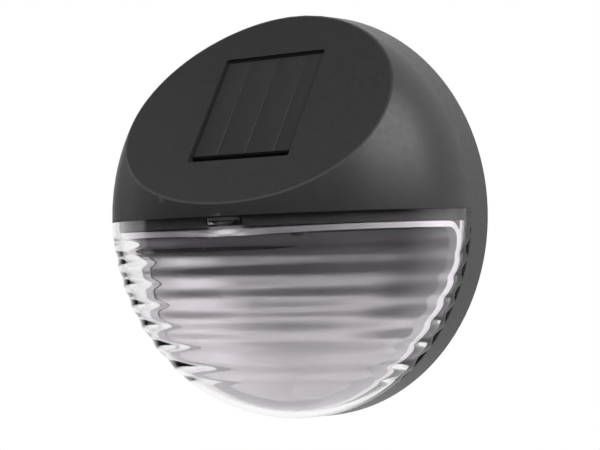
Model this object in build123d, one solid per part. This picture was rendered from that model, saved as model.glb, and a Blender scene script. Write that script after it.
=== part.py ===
from build123d import *
import os
from math import cos, pi, radians, sin, sqrt, tan

# Round solar fence light. Millimetres. The wall is the plane y = 0, the light faces -Y,
# +X is to the right seen from the front, and +Z is up. The origin is the centre of the back.

# ---- body: a shallow dome with a drafted edge ----
body_radius = 57.5
body_depth = 43.1
edge_depth = 9.0            # straight edge behind the dome and the lens
edge_draft = 0.4            # the edge is this much smaller at its front
shoulder_pull = 24.8        # how far the curve follows the edge
crown_pull = 30.2           # how far it follows the front
shell_wall = 2.4
edge_wall = 2.2

# ---- sloping face with the window for the solar panel ----
face_angle = 34.1           # from upright
face_reach = 45.4           # where its plane would cross z = 0
face_rounding = 1.2         # edge between the sloping face and the dome
window_width = 33.5
window_height = 36.4
window_height_above_lens = 30.45
window_corner = 0.8
window_recess = 0.4         # from the sloping face down to the panel
window_slot = 2.2           # open strip between the panel and the window's lower edge
pocket_wall = 1.4

# ---- solar panel, in layers from the outside in ----
panel_clearance = 0.2
cover_over_cells = 0.75
cell_thickness = 0.25
panel_board_thickness = 1.0
pad_thickness = 0.4
pad_margin = 2.0
cell_pitch = 9.4
cell_lines = 3              # gaps between the strips of the solar cell
first_cell_line = 8.1       # from the panel's left edge
cell_gap = 0.4
cell_margin = 0.3
panel_wire_spacing = 8.0
panel_wire_below_centre = 12.0
panel_wire_hole = 1.2

# ---- lens ----
lens_wall = 1.8
lens_gap = 0.12             # between the lens and the body's lower edge
lens_band = 4.6             # plain strip above the ribs
rib_pitch = 5.88
rib_count = 7
rib_depth = 0.5
contour_steps = 8
skirt_wall = 1.0
skirt_length = 2.9          # behind the front of the edge
skirt_clearance = 0.2
skirt_shoulder = 1.6
bump_height = 0.8
bump_width = 1.0
bump_from_end = 0.7
bump_span = 8.0             # degrees
bump_clearance = 0.2
bump_angles = (-8.0, -90.0, -172.0)
tab_width = 11.0
tab_wall = 1.0
tab_above = 2.4
tab_below = 2.8
tab_clearance = 0.4
tab_inset = 3.1             # behind the inside of the upper shell
tab_root = 0.2

# ---- partition under the electronics ----
partition_top = -1.2
partition_wall = 1.8
rim_wall = 1.6
rim_above = 2.0
lens_clearance = 0.3
ceiling_clearance = 0.3     # between the partition and the lens skirt

# ---- seat of the back plate and the lens seal ----
ledge_wall = 1.4
ledge_thickness = 1.4
plate_thickness = 2.8
plate_clearance = 0.3
back_seal_thickness = 1.2
lens_seal_thickness = 0.7
seal_width = 1.0
seal_clearance = 0.1

# ---- reflector ----
reflector_wall = 1.4
reflector_clearance = 0.3
reflector_mouth = 10.4      # depth of its edge from the wall
reflector_corner = 6.5      # where the edge turns forward under the partition
reflector_bar = 2.6
reflector_cove = 4.5
reflector_gap = 0.1

# ---- case screws, in mirrored pairs on one circle ----
case_screw_angles = (45.0, 6.0)     # degrees above the horizontal
case_screw_inset = 2.4      # from the cup to the seal
screw_shank = 1.3
screw_hole = 1.35
screw_free_hole = 1.55
screw_head = 2.6
screw_head_height = 1.8
screw_length = 11.0
screw_head_clearance = 0.4
screw_head_sunk = 0.6
screw_cup_wall = 0.9
screw_cup_floor = 2.2
screw_boss = 3.4
boss_skin = 1.2
cup_gap = 0.1
drive_size = 2.6
drive_width = 0.6
drive_depth = 0.8

# ---- tongues at the bottom of the back plate ----
tongue_angles = (-60.0, -120.0)
tongue_span = 8.0           # degrees
tongue_reach = 1.1
tongue_thickness = 1.4
tongue_clearance = 0.2

# ---- keyhole for one wall screw ----
key_height = 28.0
key_radius = 4.5
key_slot_radius = 2.2
key_rise = 8.0
key_pocket_depth = 4.6
key_pocket_wall = 1.2
key_pocket_width = 12.0
key_pocket_margin = 1.5

# ---- battery, its bay and door ----
cell_radius = 7.25
cell_length = 50.5
nub_radius = 2.75
nub_length = 1.2
cell_edge = 0.6
spring_room = 6.7
bay_height = 12.4           # z of the battery's axis
bay_play = 0.75
bay_seat = 0.25
bay_depth = 16.4            # below the back plate
bay_wall = 1.6
contact_thickness = 0.4
contact_width = 9.0
contact_height = 11.0
tail_width = 2.0
tail_reach = 3.4
tail_clearance = 0.15
door_margin = 1.5
door_ear = 9.0
door_corner = 3.0
door_thickness = 1.4
door_clearance = 0.25
door_below_face = 0.1
door_groove_count = 5
door_groove_pitch = 2.4
door_groove_width = 1.0
door_groove_depth = 0.4
door_groove_length = 8.0
door_seal_thickness = 0.5
door_seal_width = 1.2
door_screw_shank = 1.1
door_screw_hole = 1.16
door_screw_head = 2.3
door_screw_head_depth = 1.0
door_screw_play = 0.1
door_screw_spare = 0.6      # bore past the screw's end
door_screw_length = 7.0
door_screw_boss = 2.7
door_boss_depth = 8.0

# ---- battery spring ----
spring_radius = 3.4
spring_wire = 0.35
spring_turns = 4
arcs_per_turn = 4

# ---- on/off switch ----
switch_beside_screw = 9.66  # from the upper left case screw, towards the middle
switch_below_screw = 2.66
switch_travel = 2.4
knob_width = 2.4
knob_height = 2.4
knob_below_face = 0.4
knob_side_gap = 0.1
knob_end_gap = 0.4
knob_root = 2.6
knob_chamfer = 0.3
knob_floor_gap = 0.2
switch_body_width = 8.6
switch_body_height = 5.4
switch_body_depth = 4.6
slot_margin = 0.15

# ---- circuit board and LEDs ----
board_length = 50.0
board_thickness = 1.6
board_under = 4.2           # z of its underside
board_bay_gap = 2.7         # from the battery bay to its rear edge
board_front_gap = 6.6       # from its front edge to the front of the room for it
board_face_gap = 2.3        # that room ends this far behind the sloping face's reach
board_screw_x = 21.5
board_screw_before_led = 3.0
board_screw_shank = 0.95
board_screw_hole = 1.0
board_screw_play = 0.2
board_screw_head = 1.9
board_screw_head_height = 1.3
board_screw_length = 5.6
board_boss = 2.6
led_x = 15.8
led_behind_front = 13.6
led_radius = 2.5
led_tip = -6.5
led_body = 7.6              # from tip to flange
led_flange = 2.9
led_flange_height = 1.0
led_hole_clearance = 0.15
led_collar_wall = 1.4
lead_width = 0.5
lead_spacing = 2.54
lead_above_board = 0.8
lead_hole = 0.45
chip_size = (5.0, 4.0, 1.5)
chip_before_led = 2.0
inductor_x = 9.0
inductor_before_led = 3.5
inductor_radius = 1.7
inductor_length = 6.0
inductor_lead = 0.3
inductor_lead_reach = 1.0

# ---- wires ----
wire_radius = 0.6
wire_bend = 2.4
solder_margin = 0.2
pad_row_inset = 1.8         # from the board's rear edge
panel_wire_out = 5.5        # straight out of the panel before it turns down
board_wire_drop = 4.0       # straight down to the board
switch_wire_drop = 7.0
switch_wire_out = 7.6
switch_wire_turn = 14.6
switch_wire_slope = 6.0
battery_pad_x = 9.0
switch_pad_x = 19.4
switch_wire_spacing = 2.4

# ---- worked out ----
screw_cup = screw_head + screw_head_clearance + screw_cup_wall
screw_recess = screw_head_height + screw_head_sunk
far = 4.0 * body_radius
edge_bore = body_radius - edge_wall
front_radius = body_radius - edge_draft
ledge_bore = edge_bore - ledge_wall
case_screw_circle = ledge_bore - case_screw_inset - screw_cup
switch_x = switch_beside_screw - case_screw_circle * cos(radians(case_screw_angles[0]))
switch_z = case_screw_circle * sin(radians(case_screw_angles[0])) - switch_below_screw
seal_face = plate_thickness + back_seal_thickness
ledge_front = seal_face + ledge_thickness
skirt_end = edge_depth - skirt_length
lens_seal_room = skirt_end - ledge_front
skirt_outer = edge_bore - skirt_clearance
skirt_inner = skirt_outer - skirt_wall
ceiling_radius = skirt_inner - ceiling_clearance
partition_bottom = partition_top - partition_wall
rim_inset = lens_wall + lens_clearance
slope = tan(radians(face_angle))
panel_stack = cover_over_cells + cell_thickness + panel_board_thickness + pad_thickness
pocket_depth = window_recess + panel_stack
board_top = board_under + board_thickness
bay_half_length = (cell_length + spring_room) / 2 + contact_thickness
bay_half_height = cell_radius + bay_play
bay_floor = plate_thickness + bay_depth
bay_front = bay_floor + bay_wall
board_back = bay_front + board_bay_gap
board_room = min(body_depth, face_reach - board_face_gap)   # behind both the dome and the sloping face
board_width = board_room - board_front_gap - board_back
led_depth = board_room - led_behind_front
board_screw_depth = led_depth + board_screw_before_led
chip_depth = led_depth + chip_before_led
inductor_depth = led_depth + inductor_before_led
pad_row_depth = board_back + pad_row_inset
switch_root = plate_thickness + switch_body_depth
cell_axis_depth = bay_floor - bay_seat - cell_radius
door_half_length = bay_half_length + door_ear
door_half_height = bay_half_height + door_margin
door_front = door_below_face + door_thickness
door_recess = door_front + door_seal_thickness
door_screw_x = bay_half_length + bay_wall + door_screw_boss + door_clearance
plate_radius = edge_bore - plate_clearance
bump_back = skirt_end + bump_from_end
tongue_back = (plate_thickness - tongue_thickness) / 2
reflector_radius = skirt_inner - reflector_clearance
reflector_top = partition_bottom - reflector_gap
face_plane = Plane(
    origin=(0, -face_reach + slope * window_height_above_lens, window_height_above_lens),
    x_dir=(1, 0, 0),
    z_dir=(0, -cos(radians(face_angle)), sin(radians(face_angle))),
)


def disc(radius, front, back):
    """Round plate along Y, from depth `front` to depth `back`."""
    middle = -(front + back) / 2
    return Pos(0, middle, 0) * Rot(90, 0, 0) * Cylinder(radius, abs(front - back))


def post(radius, x, z, front, back):
    return Pos(x, 0, z) * disc(radius, front, back)


def block(low, high):
    size = [high[i] - low[i] for i in range(3)]
    centre = [(high[i] + low[i]) / 2 for i in range(3)]
    return Pos(*centre) * Box(*size)


def below(z):
    return block((-far, -far, -far), (far, far, z))


def above(z):
    return block((-far, -far, z), (far, far, far))


def in_front_of(depth):
    return block((-far, -far, -far), (far, -depth, far))


def behind(depth):
    return block((-far, -depth, -far), (far, far, far))


def on_face(depth, solid):
    """Places a solid on the sloping face, its top `depth` below the face."""
    return face_plane * Pos(0, 0, -depth) * solid


def outside_face(depth):
    return on_face(depth - far, Box(2 * far, 2 * far, 2 * far))


def sector(inner, outer, front, back, angle, span):
    """Piece of a ring around Y, centred on `angle` in the XZ plane."""
    ring = disc(outer, front, back) - disc(inner, front, back)
    reach = 2 * outer
    half = radians(span / 2)
    along = reach * cos(half)
    aside = reach * sin(half)
    wedge = Polyline((0, 0), (along, aside), (along, -aside), close=True)
    solid = extrude(make_face(wedge), far, both=True)
    return ring & (Rot(90, 0, 0) * Rot(0, 0, angle) * solid)


def dome_curve(inset):
    """Corner points of the dome's section: radius and depth, for a surface `inset` inside it."""
    side = front_radius - inset
    front = body_depth - inset
    pull_side = shoulder_pull * (front - edge_depth) / (body_depth - edge_depth)
    pull_crown = crown_pull * side / front_radius
    return (side, edge_depth), (side, edge_depth + pull_side), (pull_crown, front), (0, front)


def dome(inset):
    points = [(radius, -depth) for radius, depth in dome_curve(inset)]
    back = Polyline(points[3], (0, 0), (body_radius - inset, 0), points[0])
    return revolve(make_face(back + Bezier(*points)), Axis.Y)


def dome_point(share, inset):
    corners = dome_curve(inset)
    weights = ((1 - share) ** 3, 3 * share * (1 - share) ** 2, 3 * share ** 2 * (1 - share), share ** 3)
    radius = sum(w * corner[0] for w, corner in zip(weights, corners))
    depth = sum(w * corner[1] for w, corner in zip(weights, corners))
    return radius, depth


def rib_section(z, inset):
    """Level slice of the dome at height z, closed along the front of the edge."""
    low = 0.0
    high = 1.0
    for _ in range(40):
        share = (low + high) / 2
        if dome_point(share, inset)[0] > abs(z):
            low = share
        else:
            high = share
    half = []
    for step in range(contour_steps):
        radius, depth = dome_point(high * sin(pi / 2 * step / contour_steps), inset)
        half.append((sqrt(radius ** 2 - z ** 2), -depth))
    crown = (0, -dome_point(high, inset)[1])
    points = half + [crown] + [(-x, y) for x, y in reversed(half)]
    return Pos(0, 0, z) * make_face(Spline(*points) + Line(points[-1], points[0]))


def screw(shank, length, head, head_height):
    """Pan head screw: head outside, shank along -Z from the origin."""
    solid = Pos(0, 0, -length / 2) * Cylinder(shank, length)
    solid += Pos(0, 0, head_height / 2) * Cylinder(head, head_height)
    return solid - screw_drive(head_height)


def screw_drive(top):
    cross = Box(drive_size, drive_width, 2 * drive_depth) + Box(drive_width, drive_size, 2 * drive_depth)
    return Pos(0, 0, top) * cross


def case_screw_places():
    places = []
    for angle in case_screw_angles:
        x = case_screw_circle * cos(radians(angle))
        z = case_screw_circle * sin(radians(angle))
        places += [(-x, z), (x, z)]
    return places


def panel_layer(depth, thickness, margin):
    """Flat layer in the window, its outer side `depth` below the sloping face."""
    size = (window_width - 2 * margin, window_height - window_slot - 2 * margin, thickness)
    return on_face(depth + thickness / 2, Pos(0, window_slot / 2, 0) * Box(*size))


def panel_wire_posts(radius, depth, length):
    post_solid = Cylinder(radius, length)
    places = [Pos(side * panel_wire_spacing / 2, -panel_wire_below_centre, 0) for side in (-1, 1)]
    return on_face(depth + length / 2, places[0] * post_solid + places[1] * post_solid)


def front_housing():
    body = dome(0) - outside_face(0)
    sloping_face = body.faces().filter_by(GeomType.PLANE).sort_by_distance(face_plane.origin)[0]
    body = fillet(sloping_face.edges(), face_rounding)
    body -= below(0) & in_front_of(edge_depth)
    body -= disc(edge_bore, seal_face, -1)
    body -= below(0) & disc(edge_bore, ledge_front, edge_depth + 1)
    body -= below(0) & disc(ledge_bore, 0, edge_depth + 1)
    ledge = disc(edge_bore, ledge_front, seal_face) - disc(ledge_bore, ledge_front, seal_face)
    pocket = on_face(
        (pocket_depth + pocket_wall) / 2,
        Box(window_width + 2 * pocket_wall, window_height + 2 * pocket_wall, pocket_depth + pocket_wall),
    )
    hollow = (dome(shell_wall) & above(0)) - outside_face(shell_wall) - pocket - ledge
    body -= hollow
    # partition with the rim that the lens closes against
    room = disc(ceiling_radius, plate_thickness + plate_clearance, body_depth) & dome(rim_inset)
    rim_core = dome(rim_inset + rim_wall)
    partition = room & above(partition_bottom) & below(partition_top)
    partition += (room - rim_core) & above(partition_bottom) & below(0)
    upper_rim = (dome(rim_inset) - rim_core) & above(0) & below(rim_above) & in_front_of(ledge_front)
    body += partition + (upper_rim - outside_face(boss_skin))
    body += ledge & above(partition_bottom) & below(partition_top)
    # collars for the LEDs, posts for the circuit board
    collar_top = led_tip + led_body
    hole = led_radius + led_hole_clearance
    skin = dome(boss_skin) - outside_face(boss_skin)
    for side in (-1, 1):
        at_led = Pos(side * led_x, -led_depth, 0)
        collar = Cylinder(hole + led_collar_wall, collar_top - partition_bottom)
        body += at_led * Pos(0, 0, (collar_top + partition_bottom) / 2) * collar
        body -= at_led * Cylinder(hole, 2 * (collar_top - partition_bottom))
        at_post = Pos(side * board_screw_x, -board_screw_depth, 0)
        body += at_post * Pos(0, 0, (board_under + partition_bottom) / 2) * Cylinder(
            board_boss, board_under - partition_bottom
        )
        body -= at_post * Pos(0, 0, board_under) * Cylinder(board_screw_hole, 2 * (board_under - partition_top))
    # screw posts
    boss_back = screw_recess + screw_cup_floor + cup_gap
    for x, z in case_screw_places():
        body += post(screw_boss, x, z, boss_back, body_depth) & skin
        body -= post(screw_hole, x, z, boss_back - 1, boss_back + screw_length)
    # window pocket
    window = Box(window_width, window_height, 2 * pocket_depth)
    body -= on_face(0, fillet(window.edges().filter_by(Axis.Z), window_corner))
    body -= panel_wire_posts(panel_wire_hole, pocket_depth - 1, pocket_wall + 2)
    # room for the lens tab and its snap bumps, and for the tongues of the back plate
    tab_room = dome(rim_inset) - dome(tab_inset + tab_wall + tab_clearance)
    half_tab = tab_width / 2 + tab_clearance
    body -= tab_room & block((-half_tab, -far, -far), (half_tab, -led_depth, 0))
    tab_slot = block((-half_tab, -far, -1), (half_tab, -led_depth, rim_above + 1))
    body -= tab_room & tab_slot & dome(shell_wall)
    for angle in bump_angles:
        front = bump_back + bump_width + bump_clearance
        reach = skirt_outer + bump_height + bump_clearance
        body -= sector(skirt_inner, reach, bump_back - bump_clearance, front, angle, bump_span + 1)
    for angle in tongue_angles:
        front = tongue_back + tongue_thickness + tongue_clearance
        reach = plate_radius + tongue_reach + tongue_clearance
        body -= sector(ledge_bore, reach, tongue_back - tongue_clearance, front, angle, tongue_span + 1)
    return body


def back_plate():
    plate = disc(plate_radius, 0, plate_thickness)
    for angle in tongue_angles:
        front = tongue_back + tongue_thickness
        plate += sector(plate_radius - 1, plate_radius + tongue_reach, tongue_back, front, angle, tongue_span)
    # cups for the case screws
    for x, z in case_screw_places():
        plate += post(screw_cup, x, z, 0, screw_recess + screw_cup_floor)
        plate -= post(screw_cup - screw_cup_wall, x, z, -1, screw_recess)
        plate -= post(screw_free_hole, x, z, -1, screw_recess + screw_cup_floor + 1)
    # keyhole with a closed pocket for the screw head
    half = key_pocket_width / 2
    low = key_height - key_radius - key_pocket_margin
    high = key_height + key_rise + key_slot_radius + key_pocket_margin
    deep = plate_thickness + key_pocket_depth
    wall = key_pocket_wall
    plate += block((-half - wall, -deep - wall, low - wall), (half + wall, -plate_thickness / 2, high + wall))
    plate -= block((-half, -deep, low), (half, -plate_thickness, high))
    plate -= post(key_radius, 0, key_height, -1, plate_thickness + 1)
    slot_top = key_height + key_rise
    plate -= block((-key_slot_radius, -plate_thickness - 1, key_height), (key_slot_radius, 1, slot_top))
    plate -= post(key_slot_radius, 0, slot_top, -1, plate_thickness + 1)
    # battery bay
    long = bay_half_length
    tall = bay_half_height
    plate += block(
        (-long - bay_wall, -bay_front, bay_height - tall - bay_wall),
        (long + bay_wall, -1, bay_height + tall + bay_wall),
    )
    for side in (-1, 1):
        plate += post(door_screw_boss, side * door_screw_x, bay_height, 1, door_boss_depth)
    plate -= block((-long, -bay_floor, bay_height - tall), (long, 1, bay_height + tall))
    plate -= door_outline(door_clearance, -1, door_recess)
    for side in (-1, 1):
        plate -= post(door_screw_hole, side * door_screw_x, bay_height, 0, door_screw_length + door_screw_spare)
        slit = tail_clearance
        inner = long - contact_thickness - slit
        edge = long + slit
        slit_low = min(side * inner, side * edge)
        slit_high = max(side * inner, side * edge)
        plate -= block(
            (slit_low, -bay_front - 1, bay_height - tail_width / 2 - slit),
            (slit_high, -bay_floor, bay_height + tail_width / 2 + slit),
        )
    # slot for the switch
    slot = (switch_travel + knob_width + 2 * knob_end_gap) / 2
    reach = knob_height / 2 + knob_side_gap + slot_margin
    plate -= block(
        (switch_x - slot, -plate_thickness - 1, switch_z - reach), (switch_x + slot, 1, switch_z + reach)
    )
    return plate


def door_outline(margin, front, back):
    length = 2 * (door_half_length + margin)
    height = 2 * (door_half_height + margin)
    solid = extrude(RectangleRounded(length, height, door_corner + margin), abs(back - front))
    return Pos(0, -front, bay_height) * Rot(90, 0, 0) * solid


def battery_door():
    door = door_outline(0, door_below_face, door_front)
    bore = door_screw_shank + door_screw_play
    for side in (-1, 1):
        door -= countersunk(side, door_below_face, door_screw_head + door_screw_play, bore)
        door -= post(bore, side * door_screw_x, bay_height, -1, door_front + 1)
    # finger grooves
    half = door_groove_width / 2
    for step in range(door_groove_count):
        x = (step - (door_groove_count - 1) / 2) * door_groove_pitch
        door -= block(
            (x - half, -door_below_face - door_groove_depth, bay_height - door_groove_length / 2),
            (x + half, 1, bay_height + door_groove_length / 2),
        )
    return door


def door_seal():
    inner = block(
        (-bay_half_length, -door_recess - 1, bay_height - bay_half_height),
        (bay_half_length, 0, bay_height + bay_half_height),
    )
    outer = block(
        (-bay_half_length - door_seal_width, -door_recess, bay_height - bay_half_height - door_seal_width),
        (bay_half_length + door_seal_width, -door_front, bay_height + bay_half_height + door_seal_width),
    )
    return outer - inner


def countersunk(side, top, wide, narrow):
    """Cone of a countersunk head, its wide end at depth `top`."""
    cone = Rot(-90, 0, 0) * Cone(narrow, wide, door_screw_head_depth)
    return Pos(side * door_screw_x, -top - door_screw_head_depth / 2, bay_height) * cone


def door_screws():
    top = door_below_face
    solids = []
    for side in (-1, 1):
        one = post(door_screw_shank, side * door_screw_x, bay_height, top, door_screw_length)
        one += countersunk(side, top, door_screw_head, door_screw_shank)
        one -= Pos(side * door_screw_x, -top, bay_height) * Rot(90, 0, 0) * screw_drive(0)
        solids.append(one)
    return Compound(children=solids)


def case_screws():
    solids = []
    for x, z in case_screw_places():
        turned = Rot(-90, 0, 0) * screw(screw_shank, screw_length, screw_head, screw_head_height)
        solids.append(Pos(x, -screw_recess, z) * turned)
    return Compound(children=solids)


def back_seal():
    outer = edge_bore - seal_clearance
    inner = ledge_bore + seal_clearance
    return disc(outer, plate_thickness, seal_face) - disc(inner, plate_thickness, seal_face)


def lens_gasket():
    ring = disc(skirt_outer, ledge_front, skirt_end) - disc(skirt_inner, ledge_front, skirt_end)
    return ring & below(-lens_gap)


def lens():
    outer = (dome(0) & above(-lens_band) & below(-lens_gap)) & in_front_of(edge_depth)
    bottom = -lens_band - rib_count * rib_pitch
    outer += (dome(0) & below(bottom)) & in_front_of(edge_depth)
    for rib in range(rib_count):
        top = -lens_band - rib * rib_pitch
        heights = (top, top - rib_pitch / 2, top - rib_pitch)
        insets = (rib_depth, 0, rib_depth)
        outer += loft([rib_section(z, inset) for z, inset in zip(heights, insets)])
    shell = outer - dome(lens_wall)
    shoulder = disc(front_radius - rib_depth - skirt_clearance, edge_depth, edge_depth + skirt_shoulder)
    shoulder += disc(skirt_outer, skirt_end, edge_depth)
    shoulder -= disc(skirt_inner, skirt_end - 1, edge_depth + skirt_shoulder + 1)
    shell += shoulder & below(-lens_gap)
    for angle in bump_angles:
        bump_root = skirt_inner + skirt_wall / 2
        shell += sector(
            bump_root, skirt_outer + bump_height, bump_back, bump_back + bump_width, angle, bump_span
        )
    half = tab_width / 2
    inner_tab = dome(tab_inset) - dome(tab_inset + tab_wall)
    web = dome(lens_wall - tab_root) - dome(tab_inset + tab_wall)
    shell += inner_tab & block((-half, -far, -tab_below), (half, -led_depth, tab_above))
    shell += web & block((-half, -far, -tab_below), (half, -led_depth, -lens_gap - tab_root))
    return shell


def reflector():
    hug = lens_wall + 2 * reflector_gap + reflector_clearance
    skin = dome(hug) & disc(reflector_radius, plate_thickness, body_depth) & below(reflector_top)
    lip = reflector_top - reflector_wall
    mouth = in_front_of(reflector_mouth) & below(lip)
    turned = fillet(
        mouth.edges().filter_by(Axis.X).sort_by_distance((0, -reflector_mouth, lip))[0], reflector_corner
    )
    back = plate_thickness + reflector_wall
    hollow = dome(hug + reflector_wall) & disc(reflector_radius - reflector_wall, back, far) & below(lip)
    back_edge = hollow.edges().group_by(Axis.Y)[-1]
    hollow = fillet(back_edge, reflector_cove)
    bar_core = dome(hug + reflector_bar) & in_front_of(back)
    return skin - turned - hollow - bar_core


def solar_board():
    depth = window_recess + cover_over_cells + cell_thickness
    return panel_layer(depth, panel_board_thickness, panel_clearance)


def solar_cells():
    depth = window_recess + cover_over_cells
    left = -window_width / 2 + panel_clearance
    right = window_width / 2 - panel_clearance
    height = window_height - window_slot - 2 * panel_clearance - 2 * cell_margin
    lines = [left + first_cell_line + line * cell_pitch for line in range(cell_lines)]
    starts = [left + cell_margin] + [line + cell_gap / 2 for line in lines]
    ends = [line - cell_gap / 2 for line in lines] + [right - cell_margin]
    solids = []
    for start, end in zip(starts, ends):
        strip = Pos((start + end) / 2, window_slot / 2, 0) * Box(end - start, height, cell_thickness)
        solids.append(on_face(depth + cell_thickness / 2, strip))
    return Compound(children=solids)


def solar_cover():
    cover = panel_layer(window_recess, cover_over_cells + cell_thickness, panel_clearance)
    for cell in solar_cells().solids():
        cover -= cell
    return cover


def solar_pad():
    depth = pocket_depth - pad_thickness
    pad = panel_layer(depth, pad_thickness, pad_margin)
    return pad - panel_wire_posts(panel_wire_hole, depth - 1, pad_thickness + 2)


def circuit_board():
    middle = -board_back - board_width / 2
    board = Pos(0, middle, board_under + board_thickness / 2) * Box(board_length, board_width, board_thickness)
    for side in (-1, 1):
        board -= Pos(side * board_screw_x, -board_screw_depth, board_under) * Cylinder(
            board_screw_hole + board_screw_play, 4 * board_thickness
        )
        for lead in (-1, 1):
            board -= Pos(side * led_x + lead * lead_spacing / 2, -led_depth, board_under) * Cylinder(
                lead_hole, 4 * board_thickness
            )
    return board


def board_screws():
    one = screw(board_screw_shank, board_screw_length, board_screw_head, board_screw_head_height)
    places = [Pos(side * board_screw_x, -board_screw_depth, board_top) for side in (-1, 1)]
    return Compound(children=[place * one for place in places])


def led(side):
    flange = led_tip + led_body
    body = Pos(0, 0, led_tip + led_radius) * Sphere(led_radius)
    body += Pos(0, 0, (led_tip + led_radius + flange) / 2) * Cylinder(led_radius, flange - led_tip - led_radius)
    body += Pos(0, 0, flange + led_flange_height / 2) * Cylinder(led_flange, led_flange_height)
    return Pos(side * led_x, -led_depth, 0) * body


def led_leads():
    low = led_tip + led_body + led_flange_height
    high = board_top + lead_above_board
    half = lead_width / 2
    solids = []
    for side in (-1, 1):
        for lead in (-1, 1):
            x = side * led_x + lead * lead_spacing / 2
            solids.append(block((x - half, -led_depth - half, low), (x + half, -led_depth + half, high)))
    return Compound(children=solids)


def charge_chip():
    return Pos(0, -chip_depth, board_top + chip_size[2] / 2) * Box(*chip_size)


def inductor():
    axis = board_top + inductor_radius
    body = Rot(0, 90, 0) * Cylinder(inductor_radius, inductor_length)
    body = fillet(body.edges(), inductor_radius / 3)
    half = inductor_length / 2 + inductor_lead_reach
    for side in (-1, 1):
        lead = Pos(side * inductor_length / 2, 0, 0) * Rot(0, 90, 0) * Cylinder(
            inductor_lead, 2 * (inductor_lead_reach + inductor_lead)
        )
        lead += Pos(side * half, 0, -inductor_radius / 2) * Cylinder(inductor_lead, inductor_radius)
        body += lead
    return Pos(inductor_x, -inductor_depth, axis) * body


def switch_body():
    body = block(
        (switch_x - switch_body_width / 2, -plate_thickness - switch_body_depth, switch_z - switch_body_height / 2),
        (switch_x + switch_body_width / 2, -plate_thickness, switch_z + switch_body_height / 2),
    )
    half = (switch_travel + knob_width) / 2 + knob_end_gap
    reach = knob_height / 2 + knob_side_gap
    return body - block(
        (switch_x - half, -plate_thickness - knob_root - knob_floor_gap, switch_z - reach),
        (switch_x + half, 0, switch_z + reach),
    )


def switch_slider():
    left = switch_x - (switch_travel + knob_width) / 2
    knob = block(
        (left, -plate_thickness - knob_root, switch_z - knob_height / 2),
        (left + knob_width, -knob_below_face, switch_z + knob_height / 2),
    )
    outer = knob.faces().sort_by(Axis.Y)[-1]
    return chamfer(outer.edges(), knob_chamfer)


def battery_cell():
    tip = bay_half_length - contact_thickness
    body_end = tip - nub_length
    body_length = cell_length - nub_length
    can = Rot(0, 90, 0) * Cylinder(cell_radius, body_length)
    can = fillet(can.edges(), cell_edge)
    can = Pos(body_end - body_length / 2, 0, 0) * can
    can += Pos(tip - nub_length, 0, 0) * Rot(0, 90, 0) * Cylinder(nub_radius, 2 * nub_length)
    return Pos(0, -cell_axis_depth, bay_height) * can


def battery_contact(side):
    inner = bay_half_length - contact_thickness
    low = min(side * inner, side * bay_half_length)
    high = max(side * inner, side * bay_half_length)
    plate = block(
        (low, -cell_axis_depth - contact_height / 2, bay_height - contact_width / 2),
        (high, -cell_axis_depth + contact_height / 2, bay_height + contact_width / 2),
    )
    return plate + block(
        (low, -bay_floor - tail_reach, bay_height - tail_width / 2),
        (high, -cell_axis_depth, bay_height + tail_width / 2),
    )


def spring_path():
    """Helix along X as arcs through its points, with a flat first and last turn."""
    start = -bay_half_length + contact_thickness + spring_wire
    length = spring_room - 2 * spring_wire
    steps = spring_turns * arcs_per_turn * 2
    points = []
    for step in range(steps + 1):
        share = step / steps
        angle = 2 * pi * spring_turns * share
        points.append(
            (
                start + length * share,
                -cell_axis_depth + spring_radius * cos(angle),
                bay_height + spring_radius * sin(angle),
            )
        )
    return points


def battery_spring():
    points = spring_path()
    arcs = [ThreePointArc(*points[i:i + 3]) for i in range(0, len(points) - 2, 2)]
    path = Wire([arc.edge() for arc in arcs])
    section = Plane(origin=points[0], z_dir=path % 0) * Circle(spring_wire)
    gap = (spring_room - 2 * spring_wire) / spring_turns - 2 * spring_wire
    print("battery spring: gap between turns", round(gap, 3))
    return sweep(section, path)


def wire_along(points):
    route = FilletPolyline(*points, radius=wire_bend)
    section = Plane(origin=points[0], z_dir=Vector(*points[1]) - Vector(*points[0])) * Circle(wire_radius)
    return sweep(section, route)


def face_point(x, y, depth):
    return tuple(face_plane.from_local_coords(Vector(x, y, -depth)))


def solar_wire(side):
    x = side * panel_wire_spacing / 2
    under = pocket_depth - pad_thickness
    start = face_point(x, -panel_wire_below_centre, under)
    out = face_point(x, -panel_wire_below_centre, under + panel_wire_out)
    pad = (x, -pad_row_depth, board_top)
    return wire_along([start, out, (x, -pad_row_depth, board_top + board_wire_drop), pad])


def battery_wire(side):
    start_x = side * (bay_half_length - contact_thickness)
    depth = bay_floor + tail_reach - wire_radius - solder_margin
    pad = side * battery_pad_x
    return wire_along([
        (start_x, -depth, bay_height),
        (pad, -depth, bay_height),
        (pad, -pad_row_depth, board_top + board_wire_drop),
        (pad, -pad_row_depth, board_top),
    ])


def switch_wires():
    solids = []
    for side in (-1, 1):
        shift = side * switch_wire_spacing / 2
        x = switch_x + shift
        pad = -switch_pad_x + shift
        out = switch_root + switch_wire_out
        turn = switch_root + switch_wire_turn
        solids.append(wire_along([
            (x, -switch_root, switch_z),
            (x, -out, switch_z),
            (x, -turn, switch_z - switch_wire_slope),
            (pad, -pad_row_depth, board_top + switch_wire_drop),
            (pad, -pad_row_depth, board_top),
        ]))
    return Compound(children=solids)


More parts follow.
